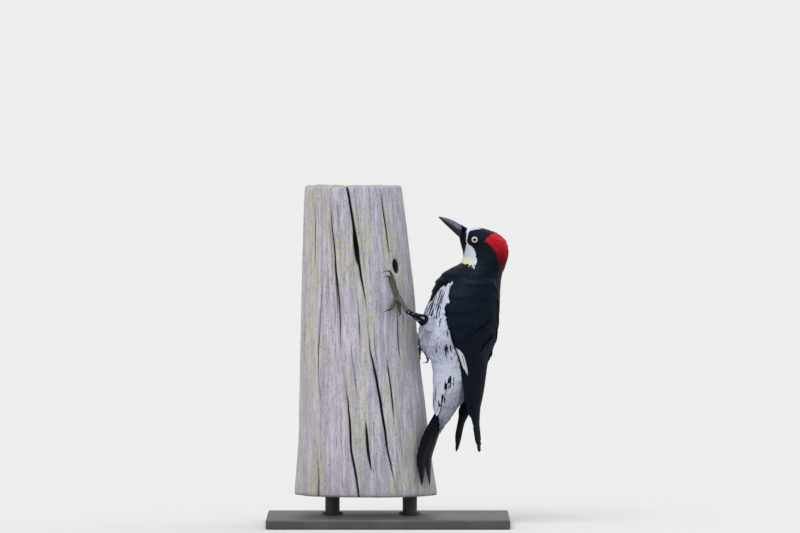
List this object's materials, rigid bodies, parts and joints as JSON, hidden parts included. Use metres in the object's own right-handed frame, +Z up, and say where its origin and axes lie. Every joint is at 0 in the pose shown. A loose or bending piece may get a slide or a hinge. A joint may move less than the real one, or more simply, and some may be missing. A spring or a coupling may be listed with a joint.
{
  "type": "acorn woodpecker model on a perch",
  "caption": "Life-size still model of a female acorn woodpecker clinging upright to a cut length of grey snag, on a flat base with short rods.",
  "frame": {"origin": "centre of the underside of the display base", "axes": "+Z up, along the snag; +X towards the bird's back; -Y towards the bird's left side"},
  "size_m": [0.2, 0.146, 0.28],
  "materials": {
    "plumage_black": "glossy blue-black feathers of head, neck, back, wings and tail",
    "plumage_pale": "white breast, belly and rump feathers, streaked with black",
    "bill_horn": "dark slate horn, satin",
    "eye": "wet eye, pale pinkish-white iris round a black pupil",
    "scales": "olive-grey scutes",
    "claw_horn": "black horn claws",
    "snag_wood": "grey, cracked, weathered wood with lichen",
    "stand_metal": "satin dark grey paint"
  },
  "bodies": {
    "root": {"head": "plumage_black", "neck": "plumage_black", "trunk": "plumage_pale", "tail": "plumage_black", "wing_left": "plumage_black", "wing_right": "plumage_black", "tibia_left": "plumage_pale", "tibia_right": "plumage_pale", "foot_left": "scales", "foot_right": "scales", "bill_upper": "bill_horn", "bill_lower": "bill_horn", "eye_left": "eye", "eye_right": "eye", "perch": "snag_wood", "stand_base": "stand_metal", "stand_rod_1": "stand_metal", "stand_rod_2": "stand_metal", "claw_left_1": "claw_horn", "claw_left_2": "claw_horn", "claw_left_3": "claw_horn", "claw_left_4": "claw_horn", "claw_right_1": "claw_horn", "claw_right_2": "claw_horn", "claw_right_3": "claw_horn", "claw_right_4": "claw_horn"}
  },
  "joints": []
}
